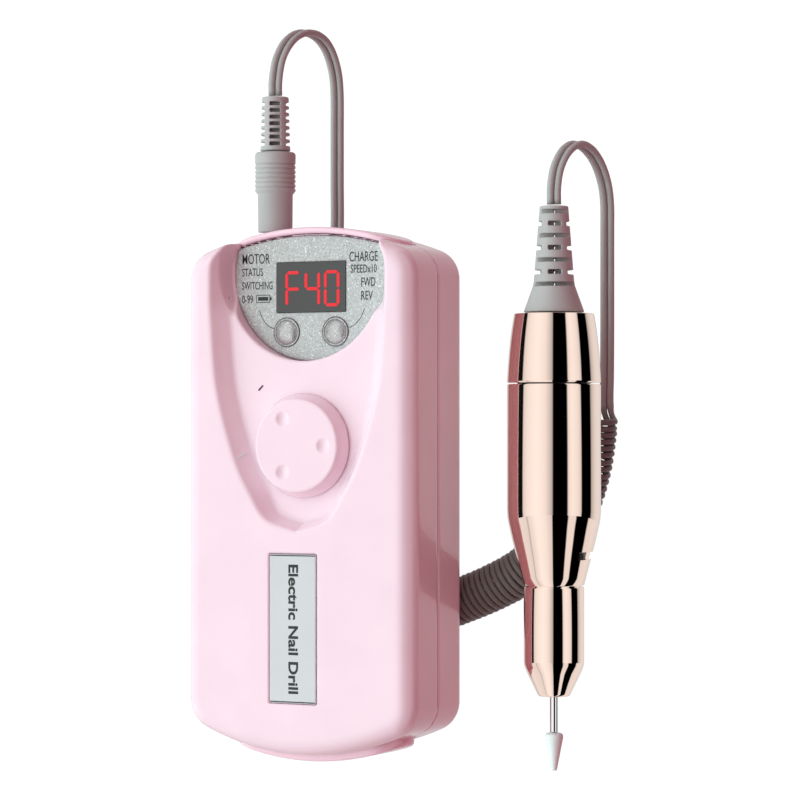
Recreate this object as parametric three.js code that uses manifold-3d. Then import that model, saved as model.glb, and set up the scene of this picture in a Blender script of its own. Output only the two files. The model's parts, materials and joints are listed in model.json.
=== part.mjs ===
// A portable electric nail drill: a battery control box lying on its belt clip, and a
// handpiece lying beside it on its own curly cord. Millimetres, +Z up from the table,
// +X to the right and +Y towards the plug end.
import * as THREE from "three";
import { mergeVertices } from "three/addons/utils/BufferGeometryUtils.js";
import Module from "manifold-3d";

const wasm = await Module();
wasm.setup();

// ---------- driving dimensions ----------
const GAP = 0.3; // clearance between pieces that touch

// The control box. Its own frame has x across, y along and z up, centred on the case.
const CASE = {
  x: -23.7, y: -1.45, // where the case's centre stands in the part's frame
  width: 74, length: 150.8, wall: 2.2,
  back: 15, parting: 32, front: 49, // heights of the back, of the seam and of the front
  corner: 9, topBow: 88, bottomBow: 78, // radii of the corners and of the bowed ends
  frontRound: 5, backRound: 4,
};
const TONGUE = { floor: 44, slope: 4, top: 84 }; // the scooped channel in the front
const POCKET = { y: 62.9, radius: 25.3, floor: 38.2, rim: 1.5, under: 36.4 };
const PLATE = { top: 39.7, thickness: 1.2 };
const DISPLAY = { y: 58.95, width: 22.6, height: 14.4 };
const BUTTON = { x: 8, y: 46, radius: 4.1, travel: 0.5, bottom: 39.1 };
const KNOB = { y: 13.3, base: 15, face: 13.25, bottom: 44.4, top: 48.8, dimpleAt: 8.8 };
const LABEL = { x: -0.9, y: -39, width: 15, length: 42.5, depth: 0.8 };
const LIP = { half: 28, proudTop: 0.8, proudBottom: 2.1, low: 22, high: 41, bite: 1 };
const BOARD = { low: 29, high: 30.6, from: -1, to: 56, half: 27 };
const CELL = { radius: 9.2, length: 65, y: -37.5, x: 9.7, z: 27.2 };
const CLIP = { width: 22, from: -15, to: 50, arm: 2.6, pad: 11.5 };
const SCREWS = { x: 29.5, y: 62 };
const CLIP_SCREWS = [34, 44]; // how far up the case the two stand
const PLUG = { x: -16.2, z: 32, tip: 57.9, out: 75.8, grip: 87.5, relief: 98.9, end: 115.2 };

// The handpiece. Its own frame has its axis on y and its front at -y.
const HAND = { x: 47.5, y: 15.75, z: 27.6 };
const TUBE = { radius: 13.2, nose: 8.5, wall: 1.3 };
const SLOT = { y: -34.6, height: 2.2, from: 64, to: 134 }; // degrees from +z towards +x
const PIN_AT = 72; // where the lock pin stands in its slot

// The cord, on the table. Its points are in the control box's x and the handpiece's y.
const CORD = { width: 3.8, coil: 14, sides: 8, coilSides: 12 };

const COLOUR = {
  pink: [0xf6c9d8, 0.25, 0], palePink: [0xf3bfd0, 0.25, 0], silver: [0xbdbdbd, 0.45, 0.6],
  black: [0x2c2c2e, 0.25, 0], red: [0xe6303b, 0.4, 0], label: [0xd9dbdc, 0.4, 0.5],
  green: [0x1f6b45, 0.6, 0], steel: [0xc8c8cc, 0.3, 1], brass: [0xcfa75a, 0.3, 1],
  gold: [0xe8b8a0, 0.12, 1], rubber: [0x7f7c7c, 0.7, 0], ceramic: [0xf7f6f2, 0.5, 0],
  cell: [0x3f6fb5, 0.5, 0], copper: [0xb8733a, 0.4, 1], grey: [0x8e8c8c, 0.6, 0],
};

// ---------- small tools ----------
const group = new THREE.Group();
const caseGroup = new THREE.Group();
caseGroup.position.set(CASE.x, CASE.y, 0);
const handGroup = new THREE.Group();
handGroup.position.set(HAND.x, HAND.y, HAND.z);
group.add(caseGroup, handGroup);

// Merged copy of a geometry, positions only, without flat triangles and facing out.
function clean(geometry) {
  const bare = geometry.index ? geometry.toNonIndexed() : geometry.clone();
  bare.deleteAttribute("normal");
  bare.deleteAttribute("uv");
  const merged = mergeVertices(bare, 1e-3);
  const p = merged.getAttribute("position");
  const index = [];
  let volume = 0;
  const [a, b, c] = [0, 1, 2].map(() => new THREE.Vector3());
  for (let i = 0; i < merged.index.count; i += 3) {
    const t = [0, 1, 2].map((k) => merged.index.getX(i + k));
    if (t[0] === t[1] || t[1] === t[2] || t[2] === t[0]) continue;
    [a, b, c].forEach((v, k) => v.fromBufferAttribute(p, t[k]));
    volume += a.dot(b.clone().cross(c));
    index.push(...t);
  }
  if (volume < 0)
    for (let i = 0; i < index.length; i += 3)
      [index[i + 1], index[i + 2]] = [index[i + 2], index[i + 1]];
  merged.setIndex(index);
  return merged;
}

// A closed geometry as a solid, for cutting and joining.
function solid(geometry) {
  const g = clean(geometry);
  return new wasm.Manifold(
    new wasm.Mesh({
      numProp: 3,
      vertProperties: new Float32Array(g.getAttribute("position").array),
      triVerts: new Uint32Array(g.index.array),
    }),
  );
}

function geometryOf(made) {
  const m = made.getMesh();
  const out = new THREE.BufferGeometry();
  const points = new Float32Array(m.numVert * 3);
  for (let i = 0; i < m.numVert; i++)
    points.set(m.vertProperties.subarray(i * m.numProp, i * m.numProp + 3), i * 3);
  out.setAttribute("position", new THREE.BufferAttribute(points, 3));
  out.setIndex(new THREE.BufferAttribute(new Uint32Array(m.triVerts), 1));
  out.computeVertexNormals();
  return out;
}

function add(parent, name, shape, colour) {
  const [color, roughness, metalness] = COLOUR[colour];
  const geometry = shape.isBufferGeometry ? clean(shape) : geometryOf(shape);
  geometry.computeVertexNormals();
  const material = new THREE.MeshStandardMaterial({ color, roughness, metalness });
  const piece = new THREE.Mesh(geometry, material);
  piece.name = name;
  parent.add(piece);
  return piece;
}

const join = (...solids) => solids.reduce((a, b) => a.add(b));
const cut = (from, ...tools) => tools.reduce((a, b) => a.subtract(b), from);

// A box between two corners.
function block(x0, x1, y0, y1, z0, z1) {
  const g = new THREE.BoxGeometry(x1 - x0, y1 - y0, z1 - z0);
  return solid(g.translate((x0 + x1) / 2, (y0 + y1) / 2, (z0 + z1) / 2));
}

// An upright drum.
function drum(x, y, radius, z0, z1, sides = 24, topRadius = radius) {
  const g = new THREE.CylinderGeometry(topRadius, radius, z1 - z0, sides);
  return solid(g.rotateX(Math.PI / 2).translate(x, y, (z0 + z1) / 2));
}

// A rod along y.
function rod(x, z, radius, y0, y1, sides = 24) {
  const g = new THREE.CylinderGeometry(radius, radius, y1 - y0, sides);
  return solid(g.translate(x, (y0 + y1) / 2, z));
}

// A flat outline pulled up from z0 to z1.
function prism(points, z0, z1) {
  const g = new THREE.ExtrudeGeometry(new THREE.Shape(points), {
    depth: z1 - z0, bevelEnabled: false,
  });
  return solid(g.translate(0, 0, z0));
}

// A closed body through level outlines with the same number of points, lowest first.
function loft(levels) {
  const count = levels[0].points.length;
  const positions = levels.flatMap(({ points, z }) => points.flatMap((p) => [p.x, p.y, z]));
  const index = [];
  for (let k = 0; k + 1 < levels.length; k++)
    for (let i = 0; i < count; i++) {
      const j = (i + 1) % count;
      const [a, b, c, d] = [k * count + i, k * count + j, (k + 1) * count + i, (k + 1) * count + j];
      index.push(a, b, d, a, d, c);
    }
  const outline = levels[0].points;
  const lid = THREE.ShapeUtils.triangulateShape(outline, [])
    .map((t) => (THREE.ShapeUtils.area(t.map((i) => outline[i])) < 0 ? [t[1], t[0], t[2]] : t));
  const last = (levels.length - 1) * count;
  lid.forEach(([a, b, c]) => index.push(a, c, b, last + a, last + b, last + c));
  const g = new THREE.BufferGeometry();
  g.setAttribute("position", new THREE.Float32BufferAttribute(positions, 3));
  g.setIndex(index);
  return solid(g);
}

// A body turned about the handpiece's axis, from [radius, y] pairs.
function turned(profile, sides = 32) {
  return new THREE.LatheGeometry(profile.map(([r, y]) => new THREE.Vector2(r, y)), sides);
}

// A hollow turned body: an outer profile and an inner one, both from low y to high y.
function sleeve(outer, inner, sides = 32) {
  return turned([...outer, ...[...inner].reverse(), outer[0]], sides);
}

// A round cord along a smooth curve through points.
function tube(points, radius, sides, steps) {
  const path = new THREE.CatmullRomCurve3(points.map((p) => new THREE.Vector3(...p)), false, "centripetal");
  const ring = new THREE.Shape();
  for (let i = 0; i < sides; i++) {
    const t = ((i + 0.5) / sides) * 2 * Math.PI;
    const [x, y] = [radius * Math.cos(t), radius * Math.sin(t)];
    if (i) ring.lineTo(x, y);
    else ring.moveTo(x, y);
  }
  return new THREE.ExtrudeGeometry(ring, { steps, extrudePath: path, bevelEnabled: false });
}

// ---------- outlines ----------
// The case seen from the front, moved in by d: straight sides, round corners, bowed ends.
function caseOutline(d = 0, cornerSteps = 4, bowSteps = 6) {
  const points = [];
  const arc = (x, y, r, from, to, steps) => {
    for (let i = 0; i <= steps; i++) {
      const t = from + ((to - from) * i) / steps;
      points.push(new THREE.Vector2(x + r * Math.cos(t), y + r * Math.sin(t)));
    }
  };
  const cornerX = CASE.width / 2 - CASE.corner;
  const end = (bow, turn) => {
    const up = turn ? -1 : 1;
    const bowY = up * (CASE.length / 2 - bow);
    const rise = Math.sqrt((bow - CASE.corner) ** 2 - cornerX ** 2);
    const lean = Math.atan2(rise, cornerX);
    const cornerY = bowY + up * rise;
    arc(up * cornerX, cornerY, CASE.corner - d, turn, turn + lean, cornerSteps);
    arc(0, bowY, bow - d, turn + lean, turn + Math.PI - lean, bowSteps);
    arc(-up * cornerX, cornerY, CASE.corner - d, turn + Math.PI - lean, turn + Math.PI, cornerSteps);
  };
  end(CASE.topBow, 0);
  end(CASE.bottomBow, Math.PI);
  return points.filter((p, i) => p.distanceTo(points[(i + 1) % points.length]) > 1e-4);
}

// The scooped channel, moved in by d: open past the top end, narrowing to a round tip.
function tongueOutline(d = 0) {
  const side = new THREE.SplineCurve(
    [[25, 75], [28.7, 65.5], [28.4, 53.7], [26.2, 28.8], [20.3, 9.4], [15.2, -0.5], [9.7, -8], [0, -11.2]]
      .map(([x, y]) => new THREE.Vector2(x, y)),
  );
  const steps = 14;
  const right = [new THREE.Vector2(25 - d, TONGUE.top)];
  for (let i = 0; i <= steps; i++) {
    const t = i / steps;
    const tangent = side.getTangent(t);
    const point = side.getPoint(t);
    if (i === steps) tangent.set(-1, 0);
    right.push(new THREE.Vector2(point.x + tangent.y * d, point.y - tangent.x * d));
  }
  const left = right.slice(0, -1).map((p) => new THREE.Vector2(-p.x, p.y)).reverse();
  return [...right, ...left].reverse(); // anticlockwise, as the case outline is
}

// ---------- control box ----------
function caseBody(d, low, high, lowRound, highRound) {
  const steps = 4;
  const levels = [];
  const rounded = (z, r, up) => {
    for (let i = 0; i <= steps; i++) {
      const t = (i / steps) * (Math.PI / 2);
      const inset = d + r * (1 - (up ? Math.cos(t) : Math.sin(t)));
      const height = r * (up ? Math.sin(t) : Math.cos(t));
      levels.push({ points: caseOutline(inset), z: up ? z - r + height : z + r - height });
    }
  };
  if (lowRound) rounded(low, lowRound, false);
  else levels.push({ points: caseOutline(d), z: low });
  if (highRound) rounded(high, highRound, true);
  else levels.push({ points: caseOutline(d), z: high });
  return loft(levels);
}

const corners = [[1, 1], [-1, 1], [-1, -1], [1, -1]].map(([sx, sy]) => [sx * SCREWS.x, sy * SCREWS.y]);
const plugBore = (low, high) => rod(PLUG.x, PLUG.z, 2.4, low, high);
const socketSpace = block(PLUG.x - 5.3, PLUG.x + 5.3, 55, 71.2, 26.7, 37.3);
const chargeSlot = block(-5, 5, -90, -60, 23.2, 27.2);

// The room that an end cap takes, grown by a gap.
function capRoom(sign, grow) {
  const x = LIP.half + grow;
  const [y0, y1] = sign > 0 ? [60, 90] : [-90, -60];
  const slab = block(-x, x, y0, y1, LIP.low - grow, LIP.high + grow);
  return cut(slab, prism(caseOutline(LIP.bite + grow), 0, CASE.front + 10));
}

// A level bar of the lip, with round ends when seen along y.
function endCap(sign) {
  const outer = prism(caseOutline(sign > 0 ? -LIP.proudTop : -LIP.proudBottom), LIP.low, LIP.high);
  const ends = (LIP.high - LIP.low) / 2;
  const bar = new THREE.Shape();
  const middle = (LIP.high + LIP.low) / 2;
  bar.absarc(LIP.half - ends, middle, ends, -Math.PI / 2, Math.PI / 2);
  bar.absarc(-(LIP.half - ends), middle, ends, Math.PI / 2, (3 * Math.PI) / 2);
  const through = new THREE.ExtrudeGeometry(bar, { depth: 30, bevelEnabled: false, curveSegments: 8 });
  through.rotateX(Math.PI / 2).translate(0, sign > 0 ? 90 : -60, 0);
  return capRoom(sign, 0).intersect(outer).intersect(solid(through));
}

function frontShell() {
  const outside = caseBody(0, CASE.parting, CASE.front, 0, CASE.frontRound);
  const scoop = loft([
    { points: tongueOutline(TONGUE.slope), z: TONGUE.floor },
    { points: tongueOutline(0), z: CASE.front + 0.5 },
  ]);
  const pocket = drum(0, POCKET.y, POCKET.radius, POCKET.floor, CASE.front + 1, 40)
    .intersect(prism(caseOutline(POCKET.rim), 30, 60));
  const inside = cut(
    prism(caseOutline(CASE.wall), CASE.parting - 1, CASE.front - 2.4),
    prism(tongueOutline(-1), TONGUE.floor - 2, 60),
    drum(0, POCKET.y, POCKET.radius + 1.8, POCKET.under, 60, 40),
  );
  const bosses = corners.map(([x, y]) => drum(x, y, 3.2, CASE.parting + 0.4, CASE.front - 1.5, 16));
  const holes = corners.map(([x, y]) => drum(x, y, 1.4, CASE.parting - 1, 42, 12));
  const label = block(
    LABEL.x - LABEL.width / 2 - GAP, LABEL.x + LABEL.width / 2 + GAP,
    LABEL.y - LABEL.length / 2 - GAP, LABEL.y + LABEL.length / 2 + GAP,
    CASE.front - LABEL.depth - GAP, CASE.front + 1,
  );
  return cut(
    join(cut(outside, inside), ...bosses.map((b) => b.intersect(outside))),
    scoop, pocket, label, ...holes,
    drum(0, KNOB.y, 3.6, 38, 46, 20),
    block(-11, 11, DISPLAY.y - 6.9, DISPLAY.y + 6.9, 34, 40),
    ...[-1, 1].map((s) => drum(s * BUTTON.x, BUTTON.y, 2.3, 34, 40, 16)),
    capRoom(1, GAP), capRoom(-1, GAP), plugBore(60, 90), socketSpace, chargeSlot,
  );
}

function backShell() {
  const seam = CASE.parting - GAP;
  const outside = caseBody(0, CASE.back, seam, CASE.backRound, 0);
  const inside = prism(caseOutline(CASE.wall), CASE.back + CASE.wall, CASE.parting + 1);
  const bosses = corners.map(([x, y]) => drum(x, y, 3.2, CASE.back + 1, seam - 0.1, 16));
  const holes = corners.flatMap(([x, y]) => [
    drum(x, y, 1.5, CASE.back - 1, CASE.parting + 1, 12),
    drum(x, y, 2.8, CASE.back - 1, CASE.back + 2.2, 16),
  ]);
  const clipHoles = CLIP_SCREWS.map((y) => drum(0, y, 1.5, CASE.back - 1, CASE.back + 4, 12));
  return cut(
    join(cut(outside, inside), ...bosses), ...holes, ...clipHoles,
    capRoom(1, GAP), capRoom(-1, GAP), plugBore(60, 90), socketSpace, chargeSlot,
  );
}

add(caseGroup, "front_shell", frontShell(), "pink");
add(caseGroup, "back_shell", backShell(), "pink");
add(caseGroup, "top_end_cap", cut(endCap(1), plugBore(60, 90)), "palePink");
add(caseGroup, "bottom_end_cap", cut(endCap(-1), chargeSlot), "palePink");

// The control panel.
function facePlate() {
  const plate = drum(0, POCKET.y, POCKET.radius - GAP, PLATE.top - PLATE.thickness, PLATE.top, 40)
    .intersect(prism(caseOutline(POCKET.rim + GAP), 30, 60));
  const window = block(
    -DISPLAY.width / 2 - GAP, DISPLAY.width / 2 + GAP,
    DISPLAY.y - DISPLAY.height / 2 - GAP, DISPLAY.y + DISPLAY.height / 2 + GAP, 30, 60,
  );
  const buttons = [-1, 1].map((s) => drum(s * BUTTON.x, BUTTON.y, BUTTON.radius + GAP, 30, 60, 24));
  return cut(plate, window, ...buttons);
}

// A domed key on its stem.
function button(sign) {
  const outline = [[0, 35.4], [1.6, 35.4], [1.6, BUTTON.bottom], [BUTTON.radius, BUTTON.bottom],
    [BUTTON.radius, 39.9], [3.6, 40.5], [2.2, 40.85], [0, 41]];
  return turned(outline, 24).rotateX(Math.PI / 2).translate(sign * BUTTON.x, BUTTON.y, 0);
}

add(caseGroup, "face_plate", facePlate(), "silver");
add(caseGroup, "display_window", block(
  -DISPLAY.width / 2, DISPLAY.width / 2,
  DISPLAY.y - DISPLAY.height / 2, DISPLAY.y + DISPLAY.height / 2, 38.6, 39.8,
), "black");
add(caseGroup, "display_module", block(-10.5, 10.5, DISPLAY.y - 6.5, DISPLAY.y + 6.5, 30.9, 38.2), "red");
add(caseGroup, "left_button", button(-1), "silver");
add(caseGroup, "right_button", button(1), "silver");
for (const [name, sign] of [["left_switch", -1], ["right_switch", 1]]) {
  const x = sign * BUTTON.x;
  add(caseGroup, name, block(x - 3, x + 3, BUTTON.y - 2.9, BUTTON.y + 2.9, 30.9, 34.5), "black");
}

// The speed knob: a flared disc with three finger dimples, on the potentiometer's shaft.
function speedKnob() {
  const outline = [[0, KNOB.bottom], [KNOB.base, KNOB.bottom], [KNOB.base, KNOB.bottom + 0.6],
    [KNOB.face + 0.6, KNOB.top - 0.9], [KNOB.face - 0.3, KNOB.top - 0.2], [12, KNOB.top], [0, KNOB.top]];
  const disc = solid(turned(outline, 32).rotateX(Math.PI / 2));
  const dimples = [0, 120, 240].map((degrees) => {
    const t = (degrees * Math.PI) / 180;
    const ball = new THREE.SphereGeometry(4, 12, 8);
    const [x, y] = [Math.cos(t), Math.sin(t)].map((v) => v * KNOB.dimpleAt);
    return solid(ball.translate(x, y, KNOB.top + 3.1));
  });
  const bore = drum(0, 0, 3.1 + GAP, KNOB.bottom - 1, 47.2, 20);
  return geometryOf(cut(disc, ...dimples, bore)).translate(0, KNOB.y, 0);
}

add(caseGroup, "speed_knob", speedKnob(), "pink");
add(caseGroup, "potentiometer_shaft", drum(0, KNOB.y, 3, 38.4, 46.8, 20), "steel");
add(caseGroup, "speed_potentiometer", drum(0, KNOB.y, 8, 30.9, 38.1, 24), "steel");
add(caseGroup, "label_plate", block(
  LABEL.x - LABEL.width / 2, LABEL.x + LABEL.width / 2,
  LABEL.y - LABEL.length / 2, LABEL.y + LABEL.length / 2, CASE.front - LABEL.depth, CASE.front - 0.1,
), "label");

// Electronics and power.
add(caseGroup, "main_board", block(
  -BOARD.half, BOARD.half, BOARD.from, BOARD.to, BOARD.low, BOARD.high,
), "green");
for (const [name, sign] of [["battery_cell_left", -1], ["battery_cell_right", 1]]) {
  const half = CELL.length / 2;
  add(caseGroup, name, rod(sign * CELL.x, CELL.z, CELL.radius, CELL.y - half, CELL.y + half), "cell");
}
add(caseGroup, "handpiece_socket", cut(
  block(PLUG.x - 5, PLUG.x + 5, 56.6, 70.9, 27, 37),
  rod(PLUG.x, PLUG.z, 2.1, 57.2, 80, 20),
), "black");
add(caseGroup, "charging_socket", cut(
  block(-4.5, 4.5, -77, -70.6, 23.5, 26.9),
  block(-3.9, 3.9, -78, -72, 24.1, 26.3),
), "steel");

// The belt clip: a pad on the back, a bend at the top and a springy arm with a lip.
function beltClip() {
  const s = new THREE.Shape();
  const { from, to, arm, pad } = CLIP;
  const high = CASE.back - GAP;
  s.moveTo(from, 0);
  s.lineTo(to - 4, 0);
  s.absarc(to - 4, 4, 4, -Math.PI / 2, 0);
  s.lineTo(to, high);
  s.lineTo(to - 22, high);
  s.lineTo(to - 22, pad);
  s.lineTo(to - 5.6, pad);
  s.absarc(to - 5.6, pad - 3, 3, Math.PI / 2, 0, true);
  s.lineTo(to - 2.6, arm + 3);
  s.absarc(to - 5.6, arm + 3, 3, 0, -Math.PI / 2, true);
  s.lineTo(from + 6, arm);
  s.lineTo(from + 3, arm + 2.4);
  s.lineTo(from, arm + 1.4);
  s.closePath();
  const g = new THREE.ExtrudeGeometry(s, { depth: CLIP.width, bevelEnabled: false, curveSegments: 6 });
  g.rotateY(Math.PI / 2).rotateX(Math.PI / 2).translate(-CLIP.width / 2, 0, 0);
  const holes = CLIP_SCREWS.flatMap((y) => [
    drum(0, y, 1.5, pad - 1, high + 1, 12), drum(0, y, 2.6, -1, pad + 1.7, 16),
  ]);
  return cut(solid(g), ...holes);
}

add(caseGroup, "belt_clip", beltClip(), "pink");

// A pan-head screw standing head down.
function screw(x, y, head, top) {
  return turned([[0, head], [2.2, head], [2.2, head + 1.3], [1.1, head + 1.3], [1.1, top], [0, top]], 12)
    .rotateX(Math.PI / 2).translate(x, y, 0);
}

CLIP_SCREWS.forEach((y, i) => {
  add(caseGroup, `clip_screw_${i + 1}`, screw(0, y, CLIP.pad + 0.1, 18.4), "steel");
});
corners.forEach(([x, y], i) => {
  add(caseGroup, `case_screw_${i + 1}`, screw(x, y, CASE.back + 0.6, 40), "steel");
});

// ---------- plug and cord ----------
// Plug pieces are turned about y, then moved to the socket's axis.
const onPlugAxis = (geometry) => geometry.translate(PLUG.x, 0, PLUG.z);
const grooves = (from, to, count, outer, inner, ridge) => {
  const points = [];
  const step = (to - from) / count;
  for (let i = 0; i < count; i++) {
    const y = from + i * step;
    points.push([outer(y), y], [outer(y), y + step * ridge], [inner(y), y + step * ridge], [inner(y), y + step]);
  }
  return points;
};
const reliefRadius = (y) => 4.35 - (0.35 * (y - PLUG.relief)) / (PLUG.end - PLUG.relief);

add(caseGroup, "plug_contact", onPlugAxis(turned(
  [[0, PLUG.tip], [1.1, PLUG.tip + 0.6], [1.75, PLUG.tip + 2], [1.75, PLUG.out - GAP], [0, PLUG.out - GAP]], 16,
)), "steel");
add(caseGroup, "plug_body", onPlugAxis(turned(
  [[0, PLUG.out], [5, PLUG.out], [5.1, PLUG.grip - 0.4], [5.9, PLUG.grip],
    ...grooves(PLUG.grip + 0.4, PLUG.relief - 1, 5, () => 5.9, () => 5.4, 0.6),
    [5.9, PLUG.relief - 0.9], [5.5, PLUG.relief], [0, PLUG.relief]], 16,
)), "grey");
add(caseGroup, "plug_strain_relief", onPlugAxis(turned(
  [[0, PLUG.relief + GAP], [4.35, PLUG.relief + GAP],
    ...grooves(PLUG.relief + 1.2, PLUG.end, 7, reliefRadius, (y) => reliefRadius(y) - 0.8, 0.6),
    [0, PLUG.end]], 12,
)), "grey");

// The cord's routes, with y as on the handpiece's axis and x as in the box.
const cordPoint = ([x, y, z]) => [x + CASE.x, y + HAND.y, z];
const onTable = CORD.width / 2 + 0.15;
const plugLead = [
  [-16.2, 98.4, 32], [-16.2, 103, 31.9], [-15.9, 109.4, 30.2], [-15.1, 114.9, 26], [-14.2, 118, 19.8],
  [-13.2, 118, 12.9], [-12.5, 115, 7.3], [-12, 109, 3.6], [-11.9, 102, onTable + 0.1], [-11.9, 90, onTable],
  [-11.9, 75, onTable], [-11.9, 61, onTable], [-13, 48, onTable], [-15, 34, onTable], [-16.5, 18, onTable],
  [-18, 2, onTable], [-19.6, -12, onTable], [-20.8, -21.5, onTable],
].map(cordPoint);
const coil = [
  [-21, -22, 7.1], [-20.2, -33, 7.1], [-15, -43.5, 7.1], [-5, -51, 7.1], [7, -54.6, 7.1], [20, -53.4, 7.1],
  [32, -49.4, 7.1], [43, -45, 7.1], [53, -39.6, 7.1], [62, -31.6, 7.1], [68.6, -21.6, 7.1], [72.6, -10, 7.1],
  [74.7, 3.7, 7.1],
].map(cordPoint);
const handLead = [
  [76, 4.2, onTable], [76.3, 15, onTable], [76.4, 30, onTable], [76.4, 45, onTable], [76.4, 58, onTable],
  [76.4, 65.5, onTable + 0.1], [76.1, 71.5, 3.4], [75.4, 77, 6.7], [74.5, 80.6, 11.6], [73.5, 81.6, 17.2],
  [72.4, 79.2, 22.4], [71.6, 74.4, 26.2], [71.2, 69, 27.5], [71.2, 63.9, 27.6],
].map(cordPoint);

add(group, "cord_lead_plug", tube(plugLead, CORD.width / 2, CORD.sides, 44), "rubber");
add(group, "cord_coil", tube(coil, CORD.coil / 2, CORD.coilSides, 40), "rubber");
add(group, "cord_lead_handpiece", tube(handLead, CORD.width / 2, CORD.sides, 34), "rubber");

// ---------- handpiece ----------
const bootRadius = (y) => 5.6 - (1.6 * (y - 41.1)) / (63.5 - 41.1);
add(handGroup, "cord_boot", sleeve(
  [[8.5, 33.5], [7.9, 35.4], [6.2, 39.8], ...grooves(41.1, 62.4, 6, bootRadius, (y) => bootRadius(y) - 1, 0.55),
    [4.1, 62.4], [4, 63.5]],
  [[2.4, 33.5], [2.4, 63.5]], 16,
), "rubber");
add(handGroup, "rear_cap", sleeve(
  [[13.2, 13.75], [13.05, 18], [12.6, 23.5], [12, 28.5], [11.4, 32.2], [10.9, 33.2]],
  [[11.9, 13.75], [11.7, 18], [11.2, 23.5], [10.4, 28.5], [9.6, 31.7], [4.5, 31.7], [4.5, 33.2]], 24,
), "gold");

// The grip tube, with the window that the lock pin slides in.
function mainHousing() {
  const { radius, nose, wall } = TUBE;
  const body = sleeve(
    [[nose, -43], [10.4, -35.6], [12.6, -27], [radius, -24.2], [radius, 13.45]],
    [[7.7, -43], [9.1, -35.6], [11.3, -27], [radius - wall, -24.2], [radius - wall, 13.45]], 28,
  );
  const fan = new THREE.Shape();
  fan.moveTo(0, 0);
  for (let i = 0; i <= 8; i++) {
    const t = ((SLOT.from + ((SLOT.to - SLOT.from) * i) / 8) * Math.PI) / 180;
    fan.lineTo(Math.cos(t) * 20, Math.sin(t) * 20);
  }
  const sector = new THREE.ExtrudeGeometry(fan, { depth: SLOT.height, bevelEnabled: false });
  // Shape x becomes +z and shape y becomes +x, so that angles run from +z towards +x.
  sector.applyMatrix4(new THREE.Matrix4().set(0, 1, 0, 0, 0, 0, 1, 0, 1, 0, 0, 0, 0, 0, 0, 1));
  sector.translate(0, SLOT.y - SLOT.height / 2, 0);
  return cut(solid(body), solid(sector));
}
add(handGroup, "main_housing", mainHousing(), "gold");

// The motor, and the line of rotating pieces in front of it.
add(handGroup, "motor_can", sleeve(
  [[10.3, -15], [10.3, 12]], [[2, -15], [2, -14], [9.3, -14], [9.3, 12]], 24,
), "steel");
add(handGroup, "motor_end_bell", sleeve([[10.3, 12.3], [10.3, 14], [6, 15.6]], [[1.6, 12.3], [1.6, 15.6]], 20), "black");
add(handGroup, "motor_rotor", turned(
  [[0, -20], [1.2, -20], [1.2, -12], [8.3, -12], [8.3, 8], [3, 8], [3, 11.4], [1.2, 11.4], [1.2, 16.5], [0, 16.5]], 24,
), "copper");
add(handGroup, "shaft_coupling", sleeve([[3.6, -27.5], [3.6, -16]], [[1.5, -27.5], [1.5, -16]], 20), "brass");
add(handGroup, "spindle", turned(
  [[0, -24.5], [1.2, -24.5], [1.2, -27.8], [3, -27.8], [3, -68], [2.6, -68], [2.6, -55], [1.6, -55], [1.6, -49], [0, -49]], 20,
), "steel");
add(handGroup, "spindle_housing", sleeve([[6.4, -67], [6.4, -28]], [[5.5, -67], [5.5, -28]], 24), "steel");
const bearing = (y) => sleeve([[5.2, y], [5.2, y + 4]], [[3.3, y], [3.3, y + 4]], 24);
add(handGroup, "bearing_rear", bearing(-34), "steel");
add(handGroup, "bearing_front", bearing(-66), "steel");
add(handGroup, "collet", sleeve(
  [[1.9, -71.6], [2.3, -69.5], [2.3, -55.4]], [[1.5, -71.6], [1.5, -69.5], [1.5, -55.4]], 16,
), "steel");

// The twist-lock sleeve that opens the collet, and its pin.
add(handGroup, "twist_sleeve", sleeve(
  [[4.3, -74.1], [4.6, -73.5], [8.2, -65.9], [8.5, -64.6], [8.5, -43.8], [8.2, -43.3], [7.3, -43.3], [7.3, -31]],
  [[3, -74.1], [3, -73], [6.7, -67], [6.7, -31]], 24,
), "gold");
const pinAngle = (PIN_AT * Math.PI) / 180;
add(handGroup, "lock_pin", new THREE.CylinderGeometry(0.75, 0.75, 2.9, 12)
  .rotateX(Math.PI / 2).translate(0, 0, 7.6 + 1.45).rotateY(pinAngle).translate(0, SLOT.y, 0), "black");

add(handGroup, "bit_shank", turned([[0, -84.2], [1.175, -84.2], [1.175, -50], [0, -50]], 16), "steel");
add(handGroup, "bit_head", turned(
  [[0, -95], [0.7, -95], [1.05, -94.5], [2.75, -85.6], [2.6, -84.8], [2, -84.5], [0, -84.5]], 20,
), "ceramic");

export default group;
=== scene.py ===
"""A portable electric nail drill: a pink control box and a rose gold handpiece on a curly cord.

Shapes are worked out in millimetres, in the part's frame, and turned into metres as meshes.
"""

import json
import math

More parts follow.
